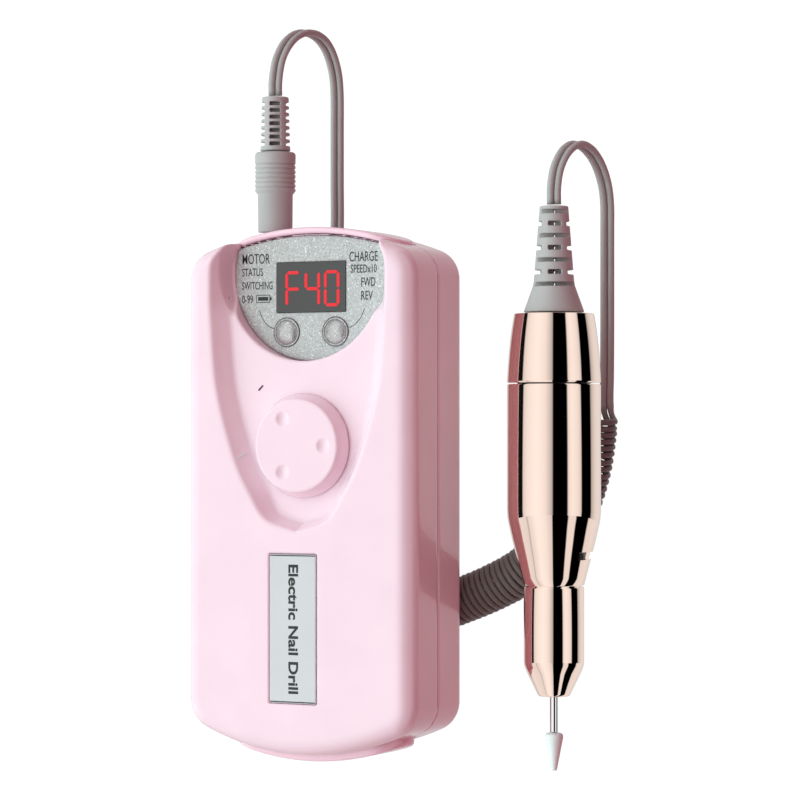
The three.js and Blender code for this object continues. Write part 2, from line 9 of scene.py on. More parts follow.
import bpy
import numpy as np
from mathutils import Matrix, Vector


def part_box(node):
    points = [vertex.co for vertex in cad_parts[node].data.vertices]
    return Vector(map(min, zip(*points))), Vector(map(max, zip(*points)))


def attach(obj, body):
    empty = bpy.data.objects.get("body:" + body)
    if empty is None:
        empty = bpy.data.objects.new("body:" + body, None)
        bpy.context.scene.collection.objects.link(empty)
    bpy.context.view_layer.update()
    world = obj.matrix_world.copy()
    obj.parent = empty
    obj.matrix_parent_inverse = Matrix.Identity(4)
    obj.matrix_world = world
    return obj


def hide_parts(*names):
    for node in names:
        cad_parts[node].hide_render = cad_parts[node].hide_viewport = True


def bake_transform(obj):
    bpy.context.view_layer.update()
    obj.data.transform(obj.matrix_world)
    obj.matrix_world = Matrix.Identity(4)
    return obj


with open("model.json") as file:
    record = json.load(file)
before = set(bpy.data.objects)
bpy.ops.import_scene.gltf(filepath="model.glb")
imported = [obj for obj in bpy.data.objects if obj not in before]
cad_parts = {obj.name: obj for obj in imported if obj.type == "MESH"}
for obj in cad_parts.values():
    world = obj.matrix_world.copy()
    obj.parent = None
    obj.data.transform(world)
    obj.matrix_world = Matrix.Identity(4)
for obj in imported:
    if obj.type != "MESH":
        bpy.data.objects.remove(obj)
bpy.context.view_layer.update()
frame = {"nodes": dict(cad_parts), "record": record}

MM = 0.001


# ---------- places, from the frame ----------
def box_mm(node):
    low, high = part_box(node)
    return np.array(low) / MM, np.array(high) / MM


case_low, case_high = box_mm("front_shell")
CASE_X = (case_low[0] + case_high[0]) / 2
CASE_Y = (case_low[1] + case_high[1]) / 2
FRONT = case_high[2]
SEAM = case_low[2]
BACK = box_mm("back_shell")[0][2]
HALF_WIDTH = (case_high[0] - case_low[0]) / 2
HALF_LENGTH = (case_high[1] - case_low[1]) / 2
tube_low, tube_high = box_mm("main_housing")
HAND_X = (tube_low[0] + tube_high[0]) / 2
HAND_Z = (tube_low[2] + tube_high[2]) / 2
HAND_Y = tube_low[1] + 43  # the handpiece's own zero, which its profiles are drawn from
plug_low, plug_high = box_mm("plug_body")
PLUG_X = (plug_low[0] + plug_high[0]) / 2
PLUG_Z = (plug_low[2] + plug_high[2]) / 2
knob_low, knob_high = box_mm("speed_knob")
PLATE_TOP = box_mm("face_plate")[1][2]

# ---------- driving dimensions, as in the CAD part ----------
CORNER, TOP_BOW, BOTTOM_BOW = 9, 88, 78
FRONT_ROUND, BACK_ROUND, WALL = 5, 4, 2.2
SCOOP_DEPTH, SCOOP_SLOPE, SCOOP_EDGE = 5, 4, 0.8
POCKET_Y, POCKET_RADIUS, POCKET_DEPTH, POCKET_RIM = 62.9, 25.3, 10.8, 1.5
DISPLAY_Y, DISPLAY_WIDTH, DISPLAY_HEIGHT = 58.95, 22.6, 14.4
BUTTON_X, BUTTON_Y, BUTTON_RADIUS, PLATE_HALF = 8, 46, 4.1, 0.6
KNOB_Y = 13.3
LABEL_X, LABEL_Y, LABEL_WIDTH, LABEL_LENGTH = -0.9, -39, 15, 42.5
LIP_HALF, TOP_PROUD, BOTTOM_PROUD, LIP_LOW, LIP_HIGH, LIP_PLAY = 28, 0.8, 2.1, 22, 41, 0.15
CLIP_SCREWS = (34, 44)
SCREW_X, SCREW_Y, POST_RADIUS = 29.5, 62, 3.2
PLUG_ACROSS, PLUG_BORE, SOCKET_Y, SOCKET_HALF = -16.2, 2.4, 63.1, (5.3, 8.1)
CHARGE_Z, CHARGE_HALF, CHARGE_TO = 25.2, (5, 2), -60
CORD_WIDTH, COIL_RADIUS = 3.8, 7.0
STRAND, STRAND_APART, COIL_STRAND, COIL_APART = 1.02, 1.0, 0.86, 0.96
VIEW_TURN = math.radians(27.3)
SLOT_Y, SLOT_HEIGHT, SLOT_FROM, SLOT_TO = -34.6, 2.2, 64, 134  # the lock window, in mm and degrees


def add_object(name, data):
    obj = bpy.data.objects.new(name, data)
    bpy.context.scene.collection.objects.link(obj)
    return obj


# ---------- camera ----------
def make_camera():
    data = bpy.data.cameras.new("camera")
    data.sensor_width = 36
    data.lens = 137.5
    data.shift_y = 0.04
    data.clip_end = 50
    camera = add_object("camera", data)
    distance = 0.856
    target = Vector(((CASE_X + 33.6) * MM, HAND_Y * MM, FRONT * MM))
    away = Vector((math.sin(VIEW_TURN), 0, math.cos(VIEW_TURN)))
    camera.location = target + away * distance
    camera.rotation_mode = "XYZ"
    camera.rotation_euler = (0, VIEW_TURN, 0)
    bpy.context.scene.camera = camera


make_camera()


# ---------- materials ----------
def color_ramp(tree, source, stops):
    """A colour ramp fed by source; each stop is (position, grey level or colour)."""
    node = tree.nodes.new("ShaderNodeValToRGB")
    elements = node.color_ramp.elements
    while len(elements) < len(stops):
        elements.new(0.5)
    for element, (position, color) in zip(elements, stops):
        element.position = position
        element.color = (*color, 1) if hasattr(color, "__len__") else (color, color, color, 1)
    tree.links.new(source, node.inputs["Fac"])
    return node.outputs["Color"]


MATERIALS = {}


class Nodes:
    """A material, kept in MATERIALS by its name, and short ways to add nodes to it."""

    def __init__(self, name, color, roughness, metallic=0.0, coat=0.0, specular=0.5):
        MATERIALS[name] = bpy.data.materials.new(name)
        MATERIALS[name].use_nodes = True
        self.tree = MATERIALS[name].node_tree
        self.shader = self.tree.nodes["Principled BSDF"]
        self.set("Base Color", (*color, 1))
        self.set("Roughness", roughness)
        self.set("Metallic", metallic)
        self.set("Coat Weight", coat)
        self.set("Coat Roughness", 0.03)
        self.set("Specular IOR Level", specular)
        self.place = self.tree.nodes.new("ShaderNodeTexCoord").outputs["Object"]

    def set(self, socket, value):
        self.shader.inputs[socket].default_value = value

    def texture(self, kind, scale, output):
        node = self.tree.nodes.new(kind)
        node.inputs["Scale"].default_value = scale
        self.tree.links.new(self.place, node.inputs["Vector"])
        return node.outputs[output]

    def noise(self, scale):
        fac = self.texture("ShaderNodeTexNoise", scale, "Fac")
        fac.node.inputs["Detail"].default_value = 3
        return fac

    def cells(self, scale, output="Color"):
        return self.texture("ShaderNodeTexVoronoi", scale, output)

    def ramp(self, source, stops):
        return color_ramp(self.tree, source, stops)

    def link(self, source, socket):
        self.tree.links.new(source, self.shader.inputs[socket])

    def bump(self, source, strength, distance):
        node = self.tree.nodes.new("ShaderNodeBump")
        node.inputs["Strength"].default_value = strength
        node.inputs["Distance"].default_value = distance
        self.tree.links.new(source, node.inputs["Height"])
        self.tree.links.new(node.outputs["Normal"], self.shader.inputs["Normal"])


def shade(color, factor):
    return tuple(min(1.0, c * factor) for c in color)


def plastic(name, color, roughness, coat=0.0, specular=0.5, grain=900):
    """Moulded plastic: slight colour drift, a little unevenness in gloss and a faint moulded skin."""
    m = Nodes(name, color, roughness, coat=coat, specular=specular)
    m.link(m.ramp(m.noise(60), [(0.3, shade(color, 0.97)), (0.7, shade(color, 1.02))]), "Base Color")
    m.link(m.ramp(m.noise(180), [(0.3, roughness * 0.85), (0.7, roughness * 1.15)]), "Roughness")
    m.bump(m.noise(grain), 0.04, 0.0002)


def metal(name, color, roughness, brushed=0.0):
    """Turned or plated metal, with fine lines round the axis where it is brushed."""
    m = Nodes(name, color, roughness, metallic=1.0)
    m.link(m.ramp(m.noise(90), [(0.3, shade(color, 0.985)), (0.7, shade(color, 1.01))]), "Base Color")
    if brushed:
        stretch = m.tree.nodes.new("ShaderNodeMapping")
        stretch.inputs["Scale"].default_value = (30, 6000, 30)
        m.tree.links.new(m.place, stretch.inputs["Vector"])
        m.place = stretch.outputs["Vector"]
        m.bump(m.noise(1), brushed, 0.00005)


def glitter(name, color, dark, shine):
    """Silver lacquer with flakes: small cells, a few much brighter or darker than the rest."""
    m = Nodes(name, color, 0.4, metallic=shine)
    flakes = m.cells(3300)
    stops = [(0.0, shade(color, 0.6)), (0.25, shade(color, 0.86)), (0.7, shade(color, 1.06)),
             (0.86, shade(color, 1.3)), (1.0, (1, 1, 1))]
    m.link(m.ramp(flakes, stops), "Base Color")
    m.link(m.ramp(m.cells(2500), [(0.0, 0.25), (1.0, 0.6)]), "Roughness")
    m.bump(m.cells(3300, "Distance"), dark, 0.0001)


PINK = (0.91, 0.68, 0.77)
LIP_PINK = (0.95, 0.66, 0.77)
plastic("case_pink", PINK, 0.2, coat=0.35, specular=0.3)
plastic("cap_pink", LIP_PINK, 0.22, coat=0.3, specular=0.3)
glitter("panel_silver", (0.49, 0.49, 0.49), 0.25, 0.25)
glitter("key_silver", (0.6, 0.6, 0.6), 0.1, 0.8)
plastic("display_black", (0.048, 0.048, 0.048), 0.12, coat=0.3)
plastic("display_red", (0.7, 0.03, 0.04), 0.4)
plastic("label_silver", (0.62, 0.62, 0.64), 0.4, specular=0.3, grain=3000)
plastic("ink", (0.018, 0.018, 0.02), 0.5)
plastic("board_green", (0.02, 0.16, 0.07), 0.5)
plastic("lock_brown", (0.055, 0.012, 0.01), 0.4)
plastic("part_black", (0.02, 0.02, 0.021), 0.45)
metal("steel", (0.62, 0.62, 0.64), 0.16, brushed=0.15)
metal("chrome", (0.86, 0.86, 0.87), 0.03)
metal("brass", (0.72, 0.52, 0.24), 0.25, brushed=0.1)
metal("copper", (0.62, 0.32, 0.18), 0.35, brushed=0.3)
metal("rose_gold", (0.95, 0.755, 0.655), 0.025)
plastic("plug_grey", (0.46, 0.445, 0.445), 0.5, specular=0.35, grain=2500)
plastic("ceramic", (0.8, 0.86, 0.85), 0.55, specular=0.2, grain=5000)
plastic("cell_wrap", (0.05, 0.17, 0.45), 0.3, coat=0.3)


def lit_red():
    """The lit segments: the same red all over, glowing."""
    m = Nodes("display_lit", (0.5, 0.02, 0.03), 0.4, specular=0.1)
    m.set("Emission Color", (0.80, 0.03, 0.04, 1))
    m.set("Emission Strength", 0.5)
    m.link(m.ramp(m.noise(900), [(0.3, (0.48, 0.02, 0.028)), (0.7, (0.52, 0.022, 0.03))]), "Base Color")


def cord_skin():
    """The cord's soft skin: darker where it is coiled, which is painted shade, paler in the leads that start
    past the coil's end.
    """
    m = Nodes("cord_rubber", (0.2, 0.19, 0.19), 0.45, specular=0.35)
    split = m.tree.nodes.new("ShaderNodeSeparateXYZ")
    m.tree.links.new(m.place, split.inputs[0])
    along = m.tree.nodes.new("ShaderNodeMapRange")
    along.inputs["From Min"].default_value = (HAND_Y + 3.5) * MM
    along.inputs["From Max"].default_value = (HAND_Y + 8) * MM
    m.tree.links.new(split.outputs["Y"], along.inputs["Value"])
    # The coil's darker colour is painted shade on the same rubber as the leads.
    coil, lead = (0.17, 0.145, 0.14), (0.42, 0.41, 0.41)
    m.link(m.ramp(along.outputs["Result"], [(0.0, coil), (1.0, lead)]), "Base Color")
    m.bump(m.noise(2500), 0.04, 0.0002)


lit_red()
cord_skin()

for name, obj in frame["nodes"].items():
    slot_name = next(s["material_slot"] for s in frame["record"]["subparts"] if s["node"] == name)
    obj.data.materials.clear()
    obj.data.materials.append(MATERIALS[slot_name])
    for polygon in obj.data.polygons:
        polygon.use_smooth = False


# ---------- mesh tools ----------
def piece(name, vertices, faces, material, body, nodes=(), smooth=True, sharp=None):
    """A new piece, from points in millimetres, riding on a body unless that is None."""
    mesh = bpy.data.meshes.new(name)
    mesh.from_pydata((np.asarray(vertices, float) * MM).tolist(), [], [list(f) for f in faces])
    mesh.validate()
    mesh.polygons.foreach_set("use_smooth", [smooth] * len(mesh.polygons))
    mesh.materials.append(MATERIALS[material])
    if sharp:
        mesh.set_sharp_from_angle(angle=math.radians(sharp))
    obj = add_object(name, mesh)
    if body:
        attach(obj, body)
    if nodes:
        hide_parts(*nodes)
    return obj


def turned(name, profile, centre, material, body, nodes=(), sides=128, sharp=35, axis="y"):
    """A body turned about y (or z) from [radius, height] pairs; a closed profile makes a ring."""
    profile = np.array(profile, float)
    angles = np.arange(sides) * 2 * math.pi / sides
    closed = np.allclose(profile[0], profile[-1])
    rows = profile[:-1] if closed else profile
    points, faces, starts = [], [], []
    for radius, height in rows:
        starts.append(len(points))
        if radius < 1e-6:
            points.append((0, height, 0))
        else:
            points += [(radius * math.sin(a), height, radius * math.cos(a)) for a in angles]
    count = len(rows)
    for k in range(count if closed else count - 1):
        low, high = k, (k + 1) % count
        one_low, one_high = rows[low][0] < 1e-6, rows[high][0] < 1e-6
        for i in range(sides):
            j = (i + 1) % sides
            a, b = starts[low] + (0 if one_low else i), starts[low] + (0 if one_low else j)
            c, d = starts[high] + (0 if one_high else j), starts[high] + (0 if one_high else i)
            if one_low and one_high:
                continue
            faces.append((a, c, d) if one_low else (a, b, c) if one_high else (a, b, c, d))
    points = np.array(points)
    if axis == "z":
        points = points[:, [2, 0, 1]]
    points = points + np.array(centre)
    return piece(name, points, faces, material, body, nodes, sharp=sharp)


def arc(cx, cy, radius, start, end, steps=6):
    """Points of an arc in a profile, angles in degrees."""
    angles = np.radians(np.linspace(start, end, steps + 1))
    return [(cx + radius * math.cos(a), cy + radius * math.sin(a)) for a in angles]


def surface_net(field, low, high, step):
    """The zero surface of field(x, y, z) as quads, with points moved onto it. Negative is inside."""
    low, high = np.array(low, float), np.array(high, float)
    counts = np.ceil((high - low) / step).astype(int) + 1
    axes = [low[k] + step * np.arange(counts[k]) for k in range(3)]
    x, y = np.meshgrid(axes[0], axes[1], indexing="ij")
    values = np.stack([field(x, y, np.full_like(x, z)) for z in axes[2]], axis=2)
    inside = values < 0
    corner = [(i, j, k) for i in (0, 1) for j in (0, 1) for k in (0, 1)]
    n = counts - 1

    def at(array, c):
        return array[c[0]:c[0] + n[0], c[1]:c[1] + n[1], c[2]:c[2] + n[2]]

    total = sum(at(inside, c).astype(np.int8) for c in corner)
    used = (total > 0) & (total < 8)
    cell = np.argwhere(used)
    index = np.full(tuple(n), -1)
    index[used] = np.arange(len(cell))
    corner_values = np.stack([at(values, c)[used] for c in corner], axis=1)
    offsets = np.array(corner, float)
    points, weights = np.zeros((len(cell), 3)), np.zeros(len(cell))
    for a in range(8):
        for b in range(a + 1, 8):
            if np.abs(offsets[a] - offsets[b]).sum() != 1:
                continue
            va, vb = corner_values[:, a], corner_values[:, b]
            cross = (va < 0) != (vb < 0)
            t = np.where(cross, va / np.where(cross, va - vb, 1), 0)
            points += np.where(cross[:, None], offsets[a] + t[:, None] * (offsets[b] - offsets[a]), 0)
            weights += cross
    points = low + (cell + points / weights[:, None]) * step
    quads = []
    for axis in range(3):
        u, v = [(1, 2), (2, 0), (0, 1)][axis]
        first = [slice(1, -1)] * 3
        first[axis] = slice(0, -1)
        second = list(first)
        second[axis] = slice(1, None)
        a, b = inside[tuple(first)], inside[tuple(second)]
        for flip in (False, True):
            edge = np.argwhere(a & ~b if not flip else ~a & b)
            edge[:, u] += 1
            edge[:, v] += 1
            around = []
            for du, dv in ((-1, -1), (0, -1), (0, 0), (-1, 0)):
                c = edge.copy()
                c[:, u] += du
                c[:, v] += dv
                around.append(index[c[:, 0], c[:, 1], c[:, 2]])
            quad = np.stack(around if not flip else around[::-1], axis=1)
            quads.append(quad)
    quads = np.concatenate(quads)
    delta = step * 0.05
    for _ in range(2):
        px, py, pz = points.T
        value = field(px, py, pz)
        slope = np.stack([
            field(px + delta, py, pz) - field(px - delta, py, pz),
            field(px, py + delta, pz) - field(px, py - delta, pz),
            field(px, py, pz + delta) - field(px, py, pz - delta),
        ], axis=1) / (2 * delta)
        move = -value[:, None] * slope / np.maximum((slope ** 2).sum(1), 0.2)[:, None]
        points = points + np.clip(move, -0.35 * step, 0.35 * step)
    return points, quads


def soft_max(a, b, radius):
    """The larger of two distances, rounded where they meet."""
    h = np.clip(0.5 + 0.5 * (a - b) / radius, 0, 1)
    return b + (a - b) * h + radius * h * (1 - h)


def smooth_step(t):
    t = np.clip(t, 0, 1)
    return t * t * (3 - 2 * t)


def rounded_meet(a, b, radius):
    """The inside of two distances at once, with an exact round edge."""
    u, v = a + radius, b + radius
    return np.minimum(np.maximum(u, v), 0) + np.hypot(np.maximum(u, 0), np.maximum(v, 0)) - radius


# ---------- outlines ----------
def bowed_end(x, y, bow):
    """Distance to one end of the case: a straight side, a round corner and a bow, all tangent."""
    middle = HALF_LENGTH - bow
    corner_x = HALF_WIDTH - CORNER
    corner_rise = math.sqrt((bow - CORNER) ** 2 - corner_x ** 2)
    rise = y - middle
    at_corner = (rise > corner_rise) & (x * corner_rise > corner_x * rise)
    round_corner = np.hypot(x - corner_x, rise - corner_rise) - CORNER
    return np.where(at_corner, round_corner, np.maximum(x - HALF_WIDTH, np.hypot(x, rise) - bow))


def case_outline(x, y):
    """Distance to the case's outline in its own frame."""
    return np.where(y > 0, bowed_end(np.abs(x), y, TOP_BOW), bowed_end(np.abs(x), -y, BOTTOM_BOW))


def smooth_curve(points, steps):
    """A Catmull-Rom curve through points."""
    p = np.array(points, float)
    p = np.vstack([2 * p[0] - p[1], p, 2 * p[-1] - p[-2]])
    out = []
    for k in range(1, len(p) - 2):
        for t in np.arange(steps) / steps:
            out.append(0.5 * (
                2 * p[k] + (p[k + 1] - p[k - 1]) * t
                + (2 * p[k - 1] - 5 * p[k] + 4 * p[k + 1] - p[k + 2]) * t ** 2
                + (3 * p[k] - p[k - 1] - 3 * p[k + 1] + p[k + 2]) * t ** 3
            ))
    out.append(p[-2])
    return np.array(out)


SCOOP_SIDE = smooth_curve(
    [(23.5, 80), (25.4, 73), (28.2, 66.5), (28.6, 58), (28.2, 48), (26.2, 28.8), (20.3, 9.4),
     (15.2, -0.5), (9.7, -8), (0, -11.2)], 8)


def scoop_outline(x, y):
    """Signed distance to the scooped channel's edge, negative inside the channel."""
    x = np.abs(x)
    best = np.full(x.shape, np.inf)
    side = np.ones(x.shape)
    for (ax, ay), (bx, by) in zip(SCOOP_SIDE[:-1], SCOOP_SIDE[1:]):
        dx, dy = bx - ax, by - ay
        t = np.clip(((x - ax) * dx + (y - ay) * dy) / (dx * dx + dy * dy), 0, 1)
        far = np.hypot(x - ax - t * dx, y - ay - t * dy)
        left = dx * (y - ay) - dy * (x - ax)
        nearer = far < best - 1e-9
        side = np.where(nearer, np.where(left > 0, 1.0, -1.0), side)
        best = np.where(nearer, far, best)
    return best * side


def box_outline(x, y, cx, cy, width, height, corner=0.4):
    return rounded_meet(np.abs(x - cx) - width / 2, np.abs(y - cy) - height / 2, corner)


# ---------- cord ----------
def cord_frame(x, y, z):
    """A cord point: x as in the case, y from the handpiece's own zero."""
    return (x + CASE_X, y + HAND_Y, z)


ON_TABLE = CORD_WIDTH / 2 + 0.15
COIL_LEVEL = COIL_RADIUS + 0.1
PLUG_LEAD = [cord_frame(*p) for p in [
    (-16.2, 98.4, 32), (-16.2, 103, 31.9), (-15.9, 109.4, 30.2), (-15.1, 114.9, 26), (-14.2, 118, 19.8),
    (-13.2, 118, 12.9), (-12.5, 115, 7.3), (-12, 109, 3.6), (-11.9, 102, ON_TABLE + 0.1),
    (-11.9, 90, ON_TABLE), (-11.9, 75, ON_TABLE), (-11.9, 61, ON_TABLE), (-13, 48, ON_TABLE),
    (-15, 34, ON_TABLE), (-16.5, 18, ON_TABLE), (-18, 2, ON_TABLE), (-19.6, -12, ON_TABLE),
    (-20.8, -21.5, ON_TABLE)]]
COIL = [cord_frame(x, y, COIL_LEVEL) for x, y in [
    (-21, -22), (-20.2, -33), (-15, -43.5), (-5, -51), (7, -54.6), (20, -53.4), (32, -49.4), (43, -45),
    (53, -39.6), (62, -31.6), (68.6, -21.6), (72.6, -10), (74.7, 3.7)]]
HAND_LEAD = [cord_frame(*p) for p in [
    (76, 4.2, ON_TABLE), (76.3, 15, ON_TABLE), (76.4, 30, ON_TABLE), (76.4, 45, ON_TABLE),
    (76.4, 58, ON_TABLE), (76.4, 65.5, ON_TABLE + 0.1), (76.1, 71.5, 3.4), (75.4, 77, 6.7),
    (74.5, 80.6, 11.6), (73.5, 81.6, 17.2), (72.4, 79.2, 22.4), (71.6, 74.4, 26.2), (71.2, 69, 27.5),
    (71.2, 63.9, 27.6)]]


def spaced(points, step):
    along = np.concatenate([[0], np.cumsum(np.linalg.norm(np.diff(points, axis=0), axis=1))])
    at = np.linspace(0, along[-1], max(2, int(math.ceil(along[-1] / step)) + 1))
    return np.stack([np.interp(at, along, points[:, k]) for k in range(3)], axis=1)


def unit(v):
    return v / np.maximum(np.linalg.norm(v, axis=-1, keepdims=True), 1e-9)


def helix_along(line, radius, pitch, points_per_turn=26):
    """A helix about a level line, starting and ending at the line's underside."""
    length = np.linalg.norm(np.diff(line, axis=0), axis=1).sum()
    turns = round(length / pitch)
    count = turns * points_per_turn + 1
    centre = spaced(spaced(line, 0.5), length / (count - 1))[:count]
    tangent = unit(np.gradient(centre, axis=0))
    aside = unit(np.cross(tangent, [0, 0, 1]))
    above = np.cross(aside, tangent)
    angle = np.linspace(0, 2 * math.pi * turns, len(centre))[:, None]
    return centre - radius * (np.sin(angle) * aside + np.cos(angle) * above), tangent


def twin_cord(name, path, across, strand, apart, body):
    """Two round strands along path; across points from one to the other, apart is half their distance."""
    tangent = unit(np.gradient(path, axis=0))
    across = unit(across - (across * tangent).sum(1, keepdims=True) * tangent)
    other = np.cross(tangent, across)
    sides = 12
    strand, apart = np.broadcast_to(strand, len(path)), np.broadcast_to(apart, len(path))[:, None]
    vertices, faces = [], []
    for sign in (-1, 1):
        centre = path + sign * apart * across
        start = len(vertices)
        for p, a, b, radius in zip(centre, across, other, strand):
            vertices += [p + radius * (math.cos(t) * a + math.sin(t) * b)
                         for t in np.arange(sides) * 2 * math.pi / sides]
        for k in range(len(path) - 1):
            for i in range(sides):
                j = (i + 1) % sides
                a, b = start + k * sides, start + (k + 1) * sides
                faces.append((a + i, a + j, b + j, b + i))
        last = start + (len(path) - 1) * sides
        faces.append([start + i for i in reversed(range(sides))])
        faces.append([last + i for i in range(sides)])
    return piece(name, vertices, faces, "cord_rubber", body)


def eased(points, share, passes):
    """Points smoothed along a cord, ends kept: each pass moves them a share of the way to flat."""
    out = points.copy()
    for _ in range(passes):
        out[1:-1] = (1 - share) * out[1:-1] + share * (out[:-2] + out[2:]) / 2
    return out


def side_by_side(path):
    """The way from strand to strand along a lead: across the main view, so both strands show."""
    return np.tile([math.cos(VIEW_TURN), 0, -math.sin(VIEW_TURN)], (len(path), 1))


def make_cords():
    coil_line = smooth_curve(COIL, 8)
    helix, along = helix_along(coil_line, COIL_RADIUS - CORD_WIDTH / 4, CORD_WIDTH + 0.02)
    lead = spaced(smooth_curve(HAND_LEAD, 8), 1.6)
    path = np.vstack([helix, lead[2:]])
    across = np.vstack([along, side_by_side(lead)[2:]])
    apart = np.repeat([COIL_APART, STRAND_APART], [len(helix), len(lead) - 2])
    strand = np.repeat([COIL_STRAND, STRAND], [len(helix), len(lead) - 2])
    soft = slice(len(helix) - 7, len(helix) + 6)  # where the coil runs out into the lead
    path[soft] = eased(path[soft], 0.5, 10)
    across[soft] = eased(across[soft], 0.5, 40)
    curly = twin_cord("curly_cord", path, across, strand, apart, None)
    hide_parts("cord_coil", "cord_lead_handpiece")
    plug_path = spaced(smooth_curve(PLUG_LEAD, 8), 1.6)
    plug_path = np.vstack([plug_path, helix[:1]])
    plug_lead = twin_cord("plug_lead", plug_path, side_by_side(plug_path), STRAND, STRAND_APART, None)
    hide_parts("cord_lead_plug")
    return curly, path, plug_lead, plug_path


curly_cord, curly_path, plug_lead, plug_path = make_cords()
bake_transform(curly_cord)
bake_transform(plug_lead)


# ---------- strain reliefs and plug ----------
def moulded_relief(name, field, centre, half, low, high, body, node):
    """A soft moulding about the y axis through centre, from a distance field of (x, y, z)."""
    points, quads = surface_net(field, (-half, low, -half), (half, high, half), 0.3)
    return piece(name, points + np.array(centre), quads, "plug_grey", body, nodes=[node])


def to_front(x, z):
    """Across and forward for mouldings whose slots face a little to the right."""
    c, s = math.cos(VIEW_TURN), math.sin(VIEW_TURN)
    return x * c - z * s, x * s + z * c


def slot_row(across, y, forward, place, height, from_front, from_side, window):
    """One row of cuts: from the front and back down to a depth, from both sides, and a middle window."""
    level = np.abs(y - place) - height / 2
    front = rounded_meet(from_front - np.abs(forward), np.abs(across) - window, 0.3)
    side = from_side - np.abs(across)
    return rounded_meet(np.minimum(front, side), level, 0.3)


def boot_field(x, y, z):
    """The handpiece's tapered boot: rings of full and of broken slots by turns, and the cord's hole."""
    radius = np.hypot(x, z)
    taper = np.interp(y, [33.5, 41, 42.5, 63.5], [8.6, 5.9, 5.65, 4.0])
    body = (radius - taper) * 0.95
    body = rounded_meet(body, np.maximum(33.6 - y, y - 63.4), 0.4)
    across, forward = to_front(x, z)
    for k in range(7):
        place = 41.4 + 3.4 * k
        if k % 2 == 0:
            slots = slot_row(across, y, forward, place, 1.15, from_front=1.7, from_side=9, window=9)
        else:
            side = 3.7 - 0.07 * k
            slots = slot_row(across, y, forward, place, 1.3, from_front=1.7, from_side=side, window=1.8)
        body = soft_max(body, -slots, 0.2)
    return np.maximum(body, 1.5 - radius)


def relief_field(x, y, z):
    """The plug's strain relief, with seven rows of broken slots."""
    radius = np.hypot(x, z)
    taper = np.interp(y, [99.2, 100, 115.2], [4.5, 4.35, 3.9])
    body = rounded_meet(radius - taper, np.maximum(99.3 - y, y - 115.1), 0.4)
    across, forward = to_front(x, z)
    for k in range(7):
        slots = slot_row(across, y, forward, 101.3 + 1.95 * k, 1.15, from_front=1.2, from_side=3, window=1.5)
        body = soft_max(body, -slots, 0.15)
    return body


moulded_relief("cord_boot_moulding", boot_field, (HAND_X, HAND_Y, HAND_Z), 9.2, 33, 64,
               "handpiece", "cord_boot")
relief = moulded_relief("plug_relief_moulding", relief_field, (PLUG_X, CASE_Y, PLUG_Z), 5.1, 98.7, 115.7,
                        "plug", "plug_strain_relief")


def plug_profile():
    """The plug's barrel and its grooved grip, as [radius, y] in the case's frame."""
    points = [(0, 75.6), (4.9, 75.6), (5, 75.7), (5.1, 86.6), (5.5, 87.1), (5.9, 87.6)]
    for k in range(6):
        y = 88.2 + 1.35 * k
        points += [(5.9, y), (5.68, y + 0.1), (5.6, y + 0.3), (5.68, y + 0.5), (5.9, y + 0.6)]
    points += [(5.95, 98), (5.8, 98.6), (5.4, 98.9), (0, 98.9)]
    return points


plug_body = turned("plug_grip", plug_profile(), (PLUG_X, CASE_Y, PLUG_Z), "plug_grey", "plug",
                   ["plug_body"], sides=96, sharp=60)


# ---------- case ----------
def in_case(points):
    return points + np.array([CASE_X, CASE_Y, 0])


def cut(body, *holes):
    """A body with holes taken out of it, with crisp edges."""
    for hole in holes:
        body = np.maximum(body, -hole)
    return body


def both(*fields):
    """Where all the distances are inside."""
    return np.maximum.reduce(np.broadcast_arrays(*fields))


def screw_axes(x, y):
    """Distance from the nearest case screw's axis."""
    return np.hypot(np.abs(x) - SCREW_X, np.abs(y) - SCREW_Y)


def key_axes(x, y):
    """Distance from the nearer key's axis."""
    return np.hypot(np.abs(x) - BUTTON_X, y - BUTTON_Y)


def from_pocket(x, y):
    return np.hypot(x, y - POCKET_Y) - POCKET_RADIUS


def lip_stadium(x, z):
    """Distance to the end lips' outline, seen along the case: flat sides with round ends."""
    half = (LIP_HIGH - LIP_LOW) / 2
    middle = (LIP_HIGH + LIP_LOW) / 2
    return np.hypot(np.maximum(np.abs(x) - (LIP_HALF - half), 0), z - middle) - half


def lip_room(x, y, z):
    """The seat of the end lips, with a little play."""
    return both(lip_stadium(x, z) - LIP_PLAY, -(case_outline(x, y) + 1 + LIP_PLAY))


def plug_bore(x, y, z):
    return both(np.hypot(x - PLUG_ACROSS, z - PLUG_Z) - PLUG_BORE, 50 - y)


def charge_slot(x, y, z):
    return both(np.abs(x) - CHARGE_HALF[0], np.abs(z - CHARGE_Z) - CHARGE_HALF[1], y - CHARGE_TO)


def socket_room(x, y, z):
    """Room inside both shells for the handpiece's socket."""
    across, along = SOCKET_HALF
    return both(np.abs(x - PLUG_ACROSS) - across, np.abs(z - PLUG_Z) - across, np.abs(y - SOCKET_Y) - along)


def scoop_channel(x, y, z, scoop):
    """The scooped channel: a sloping side and a floor, which drops to the pocket's rim beside the panel."""
    beside_panel = smooth_step((y - 50) / 7)
    at_rim = smooth_step((1.9 - from_pocket(x, y)) / 1.4)
    near_tip = smooth_step((3 - y) / 14)
    depth = SCOOP_DEPTH + 4.3 * beside_panel * at_rim
    slope = SCOOP_SLOPE - 1.2 * beside_panel - 1.8 * near_tip
    side = (scoop + slope * np.clip((FRONT - z) / depth, 0, 1) ** 1.15) * 0.8
    return soft_max(side, (FRONT - depth) - z, SCOOP_EDGE)


